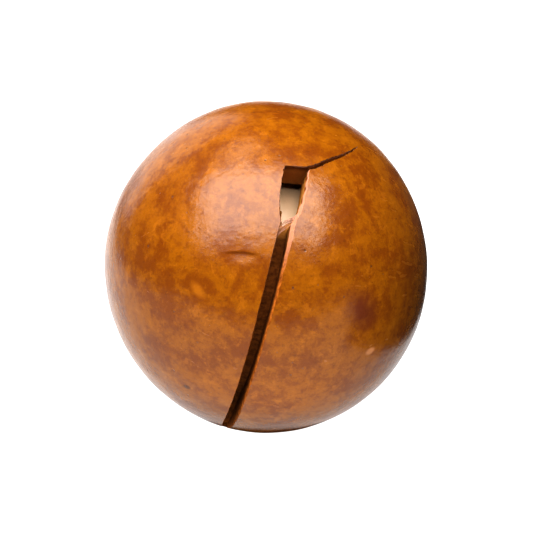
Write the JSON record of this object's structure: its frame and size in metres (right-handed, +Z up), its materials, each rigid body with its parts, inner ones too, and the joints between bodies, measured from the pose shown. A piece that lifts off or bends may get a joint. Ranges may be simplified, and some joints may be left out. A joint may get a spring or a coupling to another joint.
{
  "type": "macadamia nut in shell",
  "caption": "Whole macadamia nut: a hard round brown shell with a sawn slit down its front, a small window at the slit's top, and the cream kernel loose inside.",
  "frame": {"origin": "middle of the nut's footprint, on the floor that it rests on", "axes": "+Z up; the sawn slit faces -Y; +X is on the right of someone who looks at the slit"},
  "size_m": [0.0239, 0.0239, 0.0244],
  "materials": {
    "shell": "satin",
    "kernel": "satin"
  },
  "bodies": {
    "root": {"shell": "shell", "kernel": "kernel"}
  },
  "joints": []
}
